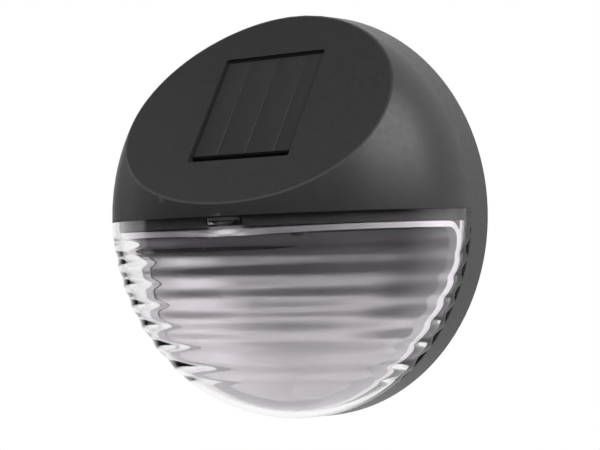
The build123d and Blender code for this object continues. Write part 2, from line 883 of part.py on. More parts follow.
nodes = {
    "front_housing": front_housing(),
    "back_plate": back_plate(),
    "back_seal": back_seal(),
    "case_screws": case_screws(),
    "lens": lens(),
    "lens_gasket": lens_gasket(),
    "reflector": reflector(),
    "solar_board": solar_board(),
    "solar_cells": solar_cells(),
    "solar_cover": solar_cover(),
    "solar_pad": solar_pad(),
    "circuit_board": circuit_board(),
    "board_screws": board_screws(),
    "led_left": led(-1),
    "led_right": led(1),
    "led_leads": led_leads(),
    "charge_chip": charge_chip(),
    "inductor": inductor(),
    "switch_body": switch_body(),
    "switch_slider": switch_slider(),
    "battery_cell": battery_cell(),
    "battery_contact_positive": battery_contact(1),
    "battery_contact_negative": battery_contact(-1),
    "battery_spring": battery_spring(),
    "battery_door": battery_door(),
    "door_seal": door_seal(),
    "door_screws": door_screws(),
    "solar_wire_red": solar_wire(1),
    "solar_wire_black": solar_wire(-1),
    "battery_wire_red": battery_wire(1),
    "battery_wire_black": battery_wire(-1),
    "switch_wires": switch_wires(),
}

os.makedirs("parts", exist_ok=True)
for name, shape in nodes.items():
    export_step(shape, f"parts/{name}.step")
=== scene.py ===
from math import asin, cos, hypot, pi, radians, sin, sqrt

import bmesh
import bpy
from mathutils import Matrix, Vector


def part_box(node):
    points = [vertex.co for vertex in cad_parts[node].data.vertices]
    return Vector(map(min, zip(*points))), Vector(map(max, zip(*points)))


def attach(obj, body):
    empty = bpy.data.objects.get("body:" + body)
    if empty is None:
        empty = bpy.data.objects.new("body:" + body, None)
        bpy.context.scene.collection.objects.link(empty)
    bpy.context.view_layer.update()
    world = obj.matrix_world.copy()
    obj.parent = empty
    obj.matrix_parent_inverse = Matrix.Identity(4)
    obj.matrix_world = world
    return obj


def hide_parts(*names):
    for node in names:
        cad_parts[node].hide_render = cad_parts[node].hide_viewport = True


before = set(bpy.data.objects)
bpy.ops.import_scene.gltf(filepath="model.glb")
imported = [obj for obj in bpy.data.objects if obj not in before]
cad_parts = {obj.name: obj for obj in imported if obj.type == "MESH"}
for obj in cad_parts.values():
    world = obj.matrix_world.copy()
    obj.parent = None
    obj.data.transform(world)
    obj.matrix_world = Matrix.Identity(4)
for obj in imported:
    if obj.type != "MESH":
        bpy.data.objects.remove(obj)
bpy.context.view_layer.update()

MM = 0.001

# ---- camera, from the photograph ----
CAMERA_AZIMUTH = radians(33.12)
CAMERA_ELEVATION = radians(-1.06)
CAMERA_ROLL = radians(-1.73)
CAMERA_DISTANCE = 448.4 * MM
CAMERA_ASIDE = -2.34 * MM
CAMERA_ABOVE = -2.48 * MM
FOCAL_LENGTH = 93.1

# ---- studio ----
BACKGROUND = 1.0
BRIGHT_SIDE = radians(150)      # middle of the bright half of the room, from the front towards +X
ROOM_BRIGHT = 0.85
ROOM_DARK = 0.03
ROOM_FADE = (-0.1, 0.75)        # from dark to bright, as the cosine to the bright side
MIRRORED_FADE = (0.25, 0.55)    # white wall behind the object, as mirrored in it: from and to along +Y
THROUGH_FADE = (-0.3, 0.4)      # the same wall, as seen through clear pieces
LAMP_DISTANCE = 0.9
LAMPS = (                       # azimuth, elevation, width and height, power
    ("key", 56, 38, (1.0, 0.68), 9.6),
    ("front_high", -12, 44, (0.5, 0.6), 0.9),
    ("left", -84, 14, (0.5, 0.9), 0.9),
    ("front_left", -38, 27, (1.4, 0.4), 1.75),
)
FLOOR_BELOW = 1200 * MM
FLOOR_RADIUS = 420 * MM

# ---- meshes ----
WELD = 0.0005 * MM
SHARP_ANGLE = radians(35)

# ---- sloping face, as in the frame ----
FACE_ANGLE = radians(34.1)
FACE_REACH = 45.4 * MM
WINDOW_HEIGHT_ABOVE_LENS = 30.45 * MM
WINDOW_WIDTH = 33.5 * MM
WINDOW_HEIGHT = 36.4 * MM
WINDOW_SLOT = 2.2 * MM
WINDOW_RECESS = 0.4 * MM
PANEL_CLEARANCE = 0.2 * MM
COVER_OVER_CELLS = 0.75 * MM

# ---- solar cell ----
FIRST_CELL_LINE = 8.1 * MM
CELL_PITCH = 9.4 * MM
CELL_LINES = 3
CELL_GAP = 0.4 * MM
CELL_MARGIN = 0.3 * MM
CELL_THICKNESS = 0.25 * MM
CELL_BED = 0.02 * MM            # the strips sink this far into the clear cover
CELL_SOFTENING = 0.03 * MM
RIBBON_WIDTH = 0.5 * MM
RIBBON_THICKNESS = 0.08 * MM
RIBBON_SOFTENING = 0.03 * MM

# ---- dome and lens, as in the frame ----
DOME_RADIUS = 57.1 * MM         # at the front of its edge
DOME_DEPTH = 43.1 * MM
EDGE_DEPTH = 9 * MM
SHOULDER_PULL = 24.8 * MM
CROWN_PULL = 30.2 * MM
HALVINGS = 30                   # search for a place on the dome's section
LENS_TOP = -0.12 * MM
LENS_WALL = 1.8 * MM
LENS_BAND = 4.6 * MM            # plain strip above the ribs
RIB_PITCH = 5.88 * MM
RIB_COUNT = 7
RIB_DEPTH = 0.5 * MM
RIB_START = 0.5                 # share of a rib in which the first one rises and the last one fades
BAND_ROWS = 6
ROWS_PER_RIB = 14
FOOT_ROWS = 26
LENS_COLUMNS = 120
LENS_WELD = 0.002 * MM
SKIRT_INNER = 54.1 * MM
SKIRT_OUTER = 55.1 * MM
SKIRT_BACK = 6.1 * MM
SKIRT_FRONT = 9.6 * MM
SKIRT_STEPS = 120
TAB_SIZE = (11 * MM, 1 * MM, 5.2 * MM)
TAB_Z = -0.2 * MM
TAB_INSET = 3.6 * MM
TAB_ROUNDING = 0.25 * MM
WEB_SIZE = (11 * MM, 1.4 * MM, 2.4 * MM)
WEB_Z = -1.6 * MM
WEB_INSET = 2.4 * MM
WEB_ROUNDING = 0.2 * MM

# ---- reflector tray, in the space of the frame's reflector ----
TRAY_RADIUS = 53.8 * MM
TRAY_TOP = -3.1 * MM
TRAY_BACK = 4.2 * MM            # depth of its back in front of the wall
TRAY_WALL = 1.4 * MM
TRAY_SIDE_RISE = 6.2 * MM       # the sides curve forward by this much
TRAY_SIDE_WIDTH = 23 * MM
TRAY_LEAN = 4.4 * MM            # the lower part leans forward
TRAY_LEAN_FROM = -10 * MM
TRAY_LEAN_HEIGHT = 27 * MM
TRAY_ROWS = 56
TRAY_COLUMNS = 110
RIM_INSET = 3.6 * MM            # middle of the rim bar, below the dome
RIM_DEPTH = 2.6 * MM
RIM_HEIGHT = 1.4 * MM
RIM_ROUNDING = 0.62 * MM
RIM_CORNER = 6.5 * MM
RIM_STEPS = 72
RIM_CORNER_STEPS = 12
RIM_FORWARD = 0.35              # the rim's outer side leans forward by this share
RIM_EDGE_ANGLE = radians(60)
TRAY_WELD = 0.001 * MM

# ---- electronics and battery ----
INDUCTOR_BANDS = (7.2 * MM, 8.6 * MM, 10.0 * MM)
INDUCTOR_BAND_WIDTH = 0.6 * MM
SLEEVE_BARE_FOOT = 1.2 * MM
SLEEVE_BAND = 9 * MM            # the pale band starts this far below the top
SLEEVE_BARE_TOP = 2.2 * MM

# ---- LEDs ----
LED_CUP_BELOW_FLANGE = 3.4 * MM
LED_CUP_RADIUS = 1.05 * MM
LED_CUP_FOOT = 0.6 * MM
LED_CUP_HEIGHT = 1.3 * MM
LED_CUP_DEPTH = 0.6 * MM
LED_CUP_WALL = 0.15 * MM
LED_CUP_TAPER = 0.6
LED_POST = 0.5 * MM
LED_POST_ROUNDING = 0.06 * MM
LED_POST_REACH = 0.4 * MM       # the post without the cup reaches this much lower
LED_GLOW_SHARE = 0.85
LED_GLOW_FLATNESS = 0.3
LED_GLOW_INSIDE = 0.3 * MM
LED_LEAD_SPACING = 2.54 * MM
LED_FLANGE_HEIGHT = 1.0 * MM


# ---------------------------------------------------------------- camera and studio

def add_camera():
    back = Vector((
        sin(CAMERA_AZIMUTH) * cos(CAMERA_ELEVATION),
        -cos(CAMERA_AZIMUTH) * cos(CAMERA_ELEVATION),
        sin(CAMERA_ELEVATION),
    ))
    level = Vector((cos(CAMERA_AZIMUTH), sin(CAMERA_AZIMUTH), 0))
    upright = back.cross(level)
    right = level * cos(CAMERA_ROLL) + upright * sin(CAMERA_ROLL)
    up = upright * cos(CAMERA_ROLL) - level * sin(CAMERA_ROLL)
    camera = bpy.data.objects.new("camera", bpy.data.cameras.new("camera"))
    camera.data.lens = FOCAL_LENGTH
    camera.data.clip_start = 0.01
    camera.data.clip_end = 20
    place = back * CAMERA_DISTANCE + right * CAMERA_ASIDE + up * CAMERA_ABOVE
    camera.matrix_world = Matrix.Translation(place) @ Matrix((right, up, back)).transposed().to_4x4()
    bpy.context.scene.collection.objects.link(camera)
    bpy.context.scene.camera = camera


def direction(azimuth, elevation):
    """Unit vector; azimuth 0 is straight in front of the light and turns towards +X."""
    azimuth = radians(azimuth)
    elevation = radians(elevation)
    return Vector((sin(azimuth) * cos(elevation), -cos(azimuth) * cos(elevation), sin(elevation)))


def add_softbox(name, azimuth, elevation, size, power):
    lamp = bpy.data.lights.new(name, "AREA")
    lamp.shape = "RECTANGLE"
    lamp.size = size[0]
    lamp.size_y = size[1]
    lamp.energy = power
    holder = bpy.data.objects.new(name, lamp)
    place = direction(azimuth, elevation) * LAMP_DISTANCE
    turn = (-place).to_track_quat("-Z", "Y").to_matrix().to_4x4()
    holder.matrix_world = Matrix.Translation(place) @ turn
    bpy.context.scene.collection.objects.link(holder)


def room_math(tree, operation, first, second):
    node = tree.nodes.new("ShaderNodeMath")
    node.operation = operation
    tree.links.new(first, node.inputs[0])
    tree.links.new(second, node.inputs[1])
    return node.outputs["Value"]


def room_fade(tree, value, limits):
    """Soft step from 0 to 1 between these limits."""
    fade = tree.nodes.new("ShaderNodeMapRange")
    fade.interpolation_type = "SMOOTHSTEP"
    fade.inputs["From Min"].default_value = limits[0]
    fade.inputs["From Max"].default_value = limits[1]
    tree.links.new(value, fade.inputs["Value"])
    return fade


def add_room():
    """White background for the camera; around it a soft room with a bright side and a dark one.

    Mirrored in the object and seen through its clear pieces, the wall behind it is white too.
    """
    world = bpy.data.worlds.new("room")
    bpy.context.scene.world = world
    world.use_nodes = True
    tree = world.node_tree
    background = tree.nodes["Background"]
    coordinates = tree.nodes.new("ShaderNodeTexCoord")
    toward = tree.nodes.new("ShaderNodeVectorMath")
    toward.operation = "DOT_PRODUCT"
    toward.inputs[1].default_value = (sin(BRIGHT_SIDE), -cos(BRIGHT_SIDE), 0)
    tree.links.new(coordinates.outputs["Generated"], toward.inputs[0])
    level = room_fade(tree, toward.outputs["Value"], ROOM_FADE)
    level.inputs["To Min"].default_value = ROOM_DARK
    level.inputs["To Max"].default_value = ROOM_BRIGHT
    parts = tree.nodes.new("ShaderNodeSeparateXYZ")
    tree.links.new(coordinates.outputs["Generated"], parts.inputs["Vector"])
    behind = room_fade(tree, parts.outputs["Y"], MIRRORED_FADE)
    beside = room_fade(tree, parts.outputs["Y"], THROUGH_FADE)
    path = tree.nodes.new("ShaderNodeLightPath")
    mirrored = room_math(tree, "MULTIPLY", path.outputs["Is Glossy Ray"], behind.outputs["Result"])
    through = room_math(tree, "MULTIPLY", path.outputs["Is Transmission Ray"], beside.outputs["Result"])
    seen_behind = room_math(tree, "MAXIMUM", mirrored, through)
    white = room_math(tree, "MAXIMUM", path.outputs["Is Camera Ray"], seen_behind)
    strength = tree.nodes.new("ShaderNodeMix")
    strength.inputs["B"].default_value = BACKGROUND
    tree.links.new(white, strength.inputs["Factor"])
    tree.links.new(level.outputs["Result"], strength.inputs["A"])
    tree.links.new(strength.outputs["Result"], background.inputs["Strength"])
    background.inputs["Color"].default_value = (1, 1, 1, 1)


# ---------------------------------------------------------------- materials

class Finish:
    """A material on object coordinates, built up from its shader."""

    NOISE_LOW = 0.3
    NOISE_HIGH = 0.7

    def __init__(self, name, color, roughness, metallic=0.0, **sockets):
        self.material = bpy.data.materials.new(name)
        self.material.use_nodes = True
        self.tree = self.material.node_tree
        self.shader = self.tree.nodes["Principled BSDF"]
        self.shader.inputs["Base Color"].default_value = (*color, 1)
        self.shader.inputs["Roughness"].default_value = roughness
        self.shader.inputs["Metallic"].default_value = metallic
        for key, value in sockets.items():
            self.shader.inputs[key.replace("_", " ")].default_value = value
        self.coordinates = self.tree.nodes.new("ShaderNodeTexCoord").outputs["Object"]
        self.color = color
        self.roughness = roughness

    def node(self, kind, **values):
        node = self.tree.nodes.new(kind)
        for key, value in values.items():
            if hasattr(node, key):
                setattr(node, key, value)
            else:
                node.inputs[key.replace("_", " ").title()].default_value = value
        return node

    def link(self, output, target):
        self.tree.links.new(output, target)

    def noise(self, size, detail=2.0, stretch=None):
        """Noise with features about `size` metres across, drawn out along an axis by `stretch`."""
        source = self.coordinates
        if stretch:
            mapping = self.node("ShaderNodeMapping", Scale=stretch)
            self.link(source, mapping.inputs["Vector"])
            source = mapping.outputs["Vector"]
        noise = self.node("ShaderNodeTexNoise", Scale=1 / size, Detail=detail)
        self.link(source, noise.inputs["Vector"])
        return noise.outputs["Fac"]

    def mottle(self, size, amount, detail=2.0, stretch=None):
        """The colour grows lighter and darker by a share `amount`."""
        ramp = self.node("ShaderNodeMix", data_type="RGBA")
        ramp.inputs["A"].default_value = (*[c * (1 - amount) for c in self.color], 1)
        ramp.inputs["B"].default_value = (*[min(1, c * (1 + amount)) for c in self.color], 1)
        self.link(self.noise(size, detail, stretch), ramp.inputs["Factor"])
        self.link(ramp.outputs["Result"], self.shader.inputs["Base Color"])
        return self

    def uneven_gloss(self, size, amount, detail=2.0, stretch=None):
        spread = self.node("ShaderNodeMapRange")
        spread.inputs["From Min"].default_value = self.NOISE_LOW
        spread.inputs["From Max"].default_value = self.NOISE_HIGH
        spread.inputs["To Min"].default_value = max(0, self.roughness - amount)
        spread.inputs["To Max"].default_value = min(1, self.roughness + amount)
        self.link(self.noise(size, detail, stretch), spread.inputs["Value"])
        self.link(spread.outputs["Result"], self.shader.inputs["Roughness"])
        return self

    def grain(self, size, depth, detail=2.0, stretch=None, strength=1.0):
        """Fine relief `depth` metres high."""
        bump = self.node("ShaderNodeBump", Strength=strength, Distance=depth)
        self.link(self.noise(size, detail, stretch), bump.inputs["Height"])
        self.link(bump.outputs["Normal"], self.shader.inputs["Normal"])
        return self

    def banded(self, axis, edges, colors):
        """Colours change along an axis at the places in `edges`, in metres."""
        parts = self.node("ShaderNodeSeparateXYZ")
        self.link(self.coordinates, parts.inputs["Vector"])
        below = None
        for edge, color in zip(edges, colors[1:]):
            past = self.node("ShaderNodeMath", operation="GREATER_THAN")
            past.inputs[1].default_value = edge
            self.link(parts.outputs[axis], past.inputs[0])
            mix = self.node("ShaderNodeMix", data_type="RGBA")
            mix.inputs["A"].default_value = (*colors[0], 1)
            mix.inputs["B"].default_value = (*color, 1)
            if below:
                self.link(below, mix.inputs["A"])
            self.link(past.outputs["Value"], mix.inputs["Factor"])
            below = mix.outputs["Result"]
        self.link(below, self.shader.inputs["Base Color"])
        return self


def housing_plastic():
    finish = Finish("housing_plastic", (0.026, 0.025, 0.025), 0.42, IOR=1.5)
    finish.mottle(4 * MM, 0.06).uneven_gloss(1.5 * MM, 0.04).grain(0.35 * MM, 0.012 * MM, detail=3)
    return finish.material


def back_plastic():
    finish = Finish("back_plastic", (0.022, 0.022, 0.022), 0.52, IOR=1.5)
    finish.mottle(3 * MM, 0.08).uneven_gloss(2 * MM, 0.05).grain(0.5 * MM, 0.02 * MM, detail=3)
    return finish.material


def clear_lens():
    finish = Finish("clear_lens", (0.985, 0.98, 0.985), 0.03, Transmission_Weight=1.0, IOR=1.49)
    finish.grain(6 * MM, 0.004 * MM)
    return finish.material


def clear_resin():
    finish = Finish("clear_resin", (0.03, 0.03, 0.03), 0.15, Alpha=0.2)
    finish.mottle(5 * MM, 0.1).grain(5 * MM, 0.003 * MM)
    return finish.material


def led_resin():
    finish = Finish("led_resin", (0.99, 0.985, 0.97), 0.02, Transmission_Weight=1.0, IOR=1.53)
    finish.grain(3 * MM, 0.002 * MM)
    return finish.material


def satin_silver():
    finish = Finish("satin_silver", (0.9, 0.86, 0.9), 0.33, metallic=0.85)
    finish.mottle(14 * MM, 0.03).uneven_gloss(9 * MM, 0.03).grain(12 * MM, 0.008 * MM)
    return finish.material


def solar_silicon():
    finish = Finish("solar_silicon", (0.048, 0.046, 0.047), 0.6, Specular_IOR_Level=0.05)
    finish.mottle(3 * MM, 0.06, stretch=(1, 0.2, 0.2)).grain(0.8 * MM, 0.001 * MM)
    return finish.material


def solar_board_black():
    finish = Finish("solar_board_black", (0.014, 0.014, 0.015), 0.5)
    finish.mottle(1 * MM, 0.1).grain(0.3 * MM, 0.01 * MM)
    return finish.material


def tinned_ribbon():
    finish = Finish("tinned_ribbon", (0.07, 0.07, 0.074), 0.5, metallic=0.4)
    finish.mottle(1 * MM, 0.1).grain(0.3 * MM, 0.005 * MM)
    return finish.material


def foam():
    finish = Finish("foam", (0.05, 0.05, 0.05), 0.95)
    finish.mottle(0.8 * MM, 0.25, detail=4).grain(0.5 * MM, 0.15 * MM, detail=4)
    return finish.material


def seal_rubber():
    finish = Finish("seal_rubber", (0.035, 0.035, 0.036), 0.8)
    finish.mottle(1.5 * MM, 0.15).grain(0.3 * MM, 0.02 * MM)
    return finish.material


def screw_steel():
    finish = Finish("screw_steel", (0.62, 0.61, 0.59), 0.3, metallic=1.0)
    finish.mottle(1 * MM, 0.06).uneven_gloss(0.6 * MM, 0.08).grain(0.25 * MM, 0.01 * MM)
    return finish.material


def board_green():
    finish = Finish("board_green", (0.02, 0.13, 0.045), 0.35)
    finish.mottle(2 * MM, 0.2, stretch=(1, 4, 1)).grain(0.6 * MM, 0.015 * MM)
    return finish.material


def chip_black():
    finish = Finish("chip_black", (0.02, 0.02, 0.021), 0.55)
    finish.mottle(0.4 * MM, 0.1).grain(0.15 * MM, 0.01 * MM)
    return finish.material


def inductor_green():
    green = (0.05, 0.22, 0.12)
    brown = (0.2, 0.08, 0.03)
    black = (0.02, 0.02, 0.02)
    orange = (0.35, 0.1, 0.02)
    edges = [start + side for start in INDUCTOR_BANDS for side in (0, INDUCTOR_BAND_WIDTH)]
    finish = Finish("inductor_green", green, 0.3)
    finish.banded("X", edges, [green, brown, green, black, green, orange, green])
    finish.grain(0.5 * MM, 0.01 * MM)
    return finish.material


def tin():
    finish = Finish("tin", (0.7, 0.7, 0.7), 0.28, metallic=1.0)
    finish.mottle(0.5 * MM, 0.05).grain(0.3 * MM, 0.008 * MM)
    return finish.material


def nickel():
    finish = Finish("nickel", (0.66, 0.64, 0.6), 0.25, metallic=1.0)
    finish.mottle(1 * MM, 0.05).uneven_gloss(1 * MM, 0.07, stretch=(1, 6, 1)).grain(0.4 * MM, 0.006 * MM)
    return finish.material


def switch_black():
    finish = Finish("switch_black", (0.03, 0.03, 0.032), 0.4)
    finish.mottle(0.8 * MM, 0.1).grain(0.2 * MM, 0.01 * MM)
    return finish.material


def battery_sleeve():
    low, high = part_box("battery_cell")
    sleeve_low = low.x + SLEEVE_BARE_FOOT
    band = high.x - SLEEVE_BAND
    sleeve_high = high.x - SLEEVE_BARE_TOP
    metal = (0.6, 0.59, 0.56)
    green = (0.05, 0.27, 0.1)
    pale = (0.75, 0.75, 0.73)
    finish = Finish("battery_sleeve", (0.09, 0.3, 0.12), 0.28)
    finish.banded("X", [sleeve_low, band, sleeve_high], [metal, green, pale, metal])
    finish.uneven_gloss(6 * MM, 0.05).grain(2 * MM, 0.01 * MM, stretch=(0.2, 1, 1))
    return finish.material


def wire_sleeve(name, color):
    finish = Finish(name, color, 0.45)
    finish.mottle(1 * MM, 0.12).grain(0.5 * MM, 0.01 * MM)
    return finish.material


def phosphor():
    finish = Finish("phosphor", (0.85, 0.72, 0.2), 0.5)
    finish.mottle(0.2 * MM, 0.1).grain(0.1 * MM, 0.01 * MM)
    return finish.material


def floor_grey():
    finish = Finish("floor_grey", (0.8, 0.8, 0.8), 0.8)
    finish.mottle(60 * MM, 0.01)
    return finish.material


def give(material, *names):
    for name in names:
        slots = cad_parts[name].data.materials
        slots.clear()
        slots.append(material)


def dress_frame():
    black = housing_plastic()
    resin = led_resin()
    steel = screw_steel()
    give(black, "front_housing")
    give(back_plastic(), "back_plate", "battery_door")
    give(clear_resin(), "solar_cover")
    give(solar_board_black(), "solar_board")
    give(foam(), "solar_pad")
    give(seal_rubber(), "back_seal", "lens_gasket", "door_seal")
    give(steel, "case_screws", "door_screws", "board_screws")
    give(board_green(), "circuit_board")
    give(resin, "led_left", "led_right")
    give(tin(), "led_leads")
    give(chip_black(), "charge_chip")
    give(inductor_green(), "inductor")
    give(switch_black(), "switch_body", "switch_slider")
    give(battery_sleeve(), "battery_cell")
    give(nickel(), "battery_contact_positive", "battery_contact_negative", "battery_spring")
    give(wire_sleeve("wire_red", (0.5, 0.02, 0.015)), "solar_wire_red", "battery_wire_red")
    give(wire_sleeve("wire_black", (0.02, 0.02, 0.02)), "solar_wire_black", "battery_wire_black")
    give(wire_sleeve("wire_white", (0.6, 0.6, 0.58)), "switch_wires")


# ---------------------------------------------------------------- new pieces

def finish_piece(bm, name, material, body="root", smooth=True):
    """Turns a bmesh in place into an object of the light."""
    bmesh.ops.remove_doubles(bm, verts=bm.verts, dist=WELD)
    bmesh.ops.recalc_face_normals(bm, faces=bm.faces)
    mesh = bpy.data.meshes.new(name)
    bm.to_mesh(mesh)
    bm.free()
    for polygon in mesh.polygons:
        polygon.use_smooth = smooth
    mesh.set_sharp_from_angle(angle=SHARP_ANGLE)
    mesh.materials.append(material)
    piece = bpy.data.objects.new(name, mesh)
    bpy.context.scene.collection.objects.link(piece)
    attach(piece, body)
    return piece


def face_matrix(x, y, depth):
    """Place on the sloping face: x across, y up the slope from the window's centre, `depth` below it."""
    out = Vector((0, -cos(FACE_ANGLE), sin(FACE_ANGLE)))
    across = Vector((1, 0, 0))
    slope = out.cross(across)
    back = WINDOW_HEIGHT_ABOVE_LENS * sin(FACE_ANGLE) / cos(FACE_ANGLE)
    centre = Vector((0, back - FACE_REACH, WINDOW_HEIGHT_ABOVE_LENS))
    place = centre + across * x + slope * y - out * depth
    return Matrix.Translation(place) @ Matrix((across, slope, out)).transposed().to_4x4()


def soft_block(bm, size, matrix, softening):
    """Block with softened edges."""
    made = bmesh.ops.create_cube(bm, size=1)
    bmesh.ops.scale(bm, vec=size, verts=made["verts"])
    edges = list({edge for vert in made["verts"] for edge in vert.link_edges})
    rounded = bmesh.ops.bevel(
        bm, geom=edges, offset=softening, affect="EDGES", segments=2, profile=0.5, material=-1,
    )
    verts = {vert for face in rounded["faces"] for vert in face.verts}
    verts |= {vert for vert in made["verts"] if vert.is_valid}
    bmesh.ops.transform(bm, matrix=matrix, verts=list(verts))


def add_cell_strips():
    """The four dark strips of the solar cell, set into its cover, and the ribbons between them."""
    left = -WINDOW_WIDTH / 2 + PANEL_CLEARANCE
    right = WINDOW_WIDTH / 2 - PANEL_CLEARANCE
    length = WINDOW_HEIGHT - WINDOW_SLOT - 2 * PANEL_CLEARANCE - 2 * CELL_MARGIN
    lines = [left + FIRST_CELL_LINE + line * CELL_PITCH for line in range(CELL_LINES)]
    starts = [left + CELL_MARGIN] + [line + CELL_GAP / 2 for line in lines]
    ends = [line - CELL_GAP / 2 for line in lines] + [right - CELL_MARGIN]
    depth = WINDOW_RECESS + COVER_OVER_CELLS
    bm = bmesh.new()
    for start, end in zip(starts, ends):
        size = (end - start + 2 * CELL_BED, length + 2 * CELL_BED, CELL_THICKNESS + 2 * CELL_BED)
        place = face_matrix((start + end) / 2, WINDOW_SLOT / 2, depth + CELL_THICKNESS / 2)
        soft_block(bm, size, place, CELL_SOFTENING)
    strips = finish_piece(bm, "cell_strips", solar_silicon(), smooth=False)
    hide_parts("solar_cells")
    bm = bmesh.new()
    for x in lines:
        place = face_matrix(x, WINDOW_SLOT / 2, depth - CELL_BED - RIBBON_THICKNESS / 2)
        soft_block(bm, (RIBBON_WIDTH, length, RIBBON_THICKNESS), place, RIBBON_SOFTENING)
    finish_piece(bm, "cell_ribbons", tinned_ribbon(), smooth=False)


def dome_point(t, inset):
    """Radius and depth of the dome's section, `inset` below its surface.

    t runs from the dome's edge to its middle.
    """
    side = DOME_RADIUS - inset
    front = DOME_DEPTH - inset
    pull_side = SHOULDER_PULL * (front - EDGE_DEPTH) / (DOME_DEPTH - EDGE_DEPTH)
    pull_crown = CROWN_PULL * side / DOME_RADIUS
    back = 1 - t
    radius = back ** 3 * side + 3 * back ** 2 * t * side + 3 * back * t ** 2 * pull_crown
    depth = back ** 3 * EDGE_DEPTH + 3 * back ** 2 * t * (EDGE_DEPTH + pull_side)
    return radius, depth + 3 * back * t ** 2 * front + t ** 3 * front


def dome_share(radius, inset):
    """The t at which the dome's section has this radius."""
    low = 0.0
    high = 1.0
    for _ in range(HALVINGS):
        middle = (low + high) / 2
        if dome_point(middle, inset)[0] > radius:
            low = middle
        else:
            high = middle
    return low


def lens_heights():
    """Heights of the rows of the lens: its plain band, its ribs and its foot."""
    rows = [LENS_TOP - (LENS_BAND + LENS_TOP) * row / BAND_ROWS for row in range(BAND_ROWS)]
    ribs = RIB_COUNT * ROWS_PER_RIB
    rows += [-LENS_BAND - RIB_PITCH * row / ROWS_PER_RIB for row in range(ribs)]
    foot = LENS_BAND + RIB_COUNT * RIB_PITCH
    start = asin(foot / DOME_RADIUS)
    return rows + [
        -DOME_RADIUS * sin(start + (pi / 2 - start) * row / FOOT_ROWS) for row in range(FOOT_ROWS + 1)
    ]


def rib_inset(z):
    """Ribs as one soft wave: how far the lens lies below the dome at height z."""
    ribs = (-LENS_BAND - z) / RIB_PITCH
    if ribs <= 0 or ribs >= RIB_COUNT:
        return 0
    rise = min(1, ribs / RIB_START, (RIB_COUNT - ribs) / RIB_START)
    return RIB_DEPTH * rise * (1 + cos(2 * pi * ribs)) / 2


def lens_skin(bm, heights, ribbed):
    """One side of the lens as a grid with its rows at these heights."""
    rows = len(heights) - 1
    skin = bmesh.ops.create_grid(bm, x_segments=LENS_COLUMNS, y_segments=rows, size=1)["verts"]
    for vert in skin:
        z = heights[round((1 - vert.co.y) / 2 * rows)]
        inset = rib_inset(z) if ribbed else LENS_WALL
        if not ribbed:
            z = LENS_TOP + (z - LENS_TOP) * (DOME_RADIUS - LENS_WALL) / DOME_RADIUS
        share = dome_share(-z, inset) * cos(pi / 2 * vert.co.x)
        radius, depth = dome_point(share, inset)
        across = sqrt(max(0, radius ** 2 - z ** 2))
        vert.co = (across if vert.co.x > 0 else -across, -depth, z)


def swept_bar(bm, places, section, closed):
    """Bar through `places`, each a point with the section's two directions."""
    rings = [
        [bm.verts.new(point + u * side + v * across) for u, v in section]
        for point, side, across in places
    ]
    turns = len(rings) if closed else len(rings) - 1
    faces = []
    for index in range(turns):
        ring = rings[index]
        after = rings[(index + 1) % len(rings)]
        for corner in range(len(section)):
            beside = (corner + 1) % len(section)
            faces.append(bm.faces.new((ring[corner], after[corner], after[beside], ring[beside])))
    if not closed:
        faces += [bm.faces.new(rings[0]), bm.faces.new(rings[-1])]
    return faces


def add_lens():
    """The clear lens with its soft ribs, the skirt inside the edge, and the snap tab at its top."""
    bm = bmesh.new()
    heights = lens_heights()
    lens_skin(bm, heights, True)
    lens_skin(bm, heights, False)
    bmesh.ops.remove_doubles(bm, verts=bm.verts, dist=LENS_WELD)
    bmesh.ops.bridge_loops(bm, edges=[edge for edge in bm.edges if edge.is_boundary])
    half = (SKIRT_OUTER - SKIRT_INNER) / 2
    middle = (SKIRT_OUTER + SKIRT_INNER) / 2
    depth = (SKIRT_FRONT + SKIRT_BACK) / 2
    reach = (SKIRT_FRONT - SKIRT_BACK) / 2
    start = asin(-LENS_TOP / SKIRT_INNER)
    ring = []
    for step in range(SKIRT_STEPS + 1):
        angle = start + (pi - 2 * start) * step / SKIRT_STEPS
        outward = Vector((cos(angle), 0, -sin(angle)))
        ring.append((outward * middle - Vector((0, depth, 0)), outward, Vector((0, 1, 0))))
    swept_bar(bm, ring, [(half, reach), (half, -reach), (-half, -reach), (-half, reach)], False)
    soft_block(bm, TAB_SIZE, Matrix.Translation((0, TAB_INSET - DOME_DEPTH, TAB_Z)), TAB_ROUNDING)
    soft_block(bm, WEB_SIZE, Matrix.Translation((0, WEB_INSET - DOME_DEPTH, WEB_Z)), WEB_ROUNDING)
    lens = finish_piece(bm, "ribbed_lens", clear_lens())
    lens.visible_shadow = False
    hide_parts("lens")


def tray_depth(x, z):
    """How far in front of the wall the inside of the tray stands."""
    inward = max(0, TRAY_RADIUS - hypot(x, z))
    side = max(0, 1 - inward / TRAY_SIDE_WIDTH) ** 2
    lean = min(1, max(0, (TRAY_LEAN_FROM - z) / TRAY_LEAN_HEIGHT))
    return TRAY_BACK + TRAY_SIDE_RISE * side + TRAY_LEAN * lean * lean * (3 - 2 * lean)


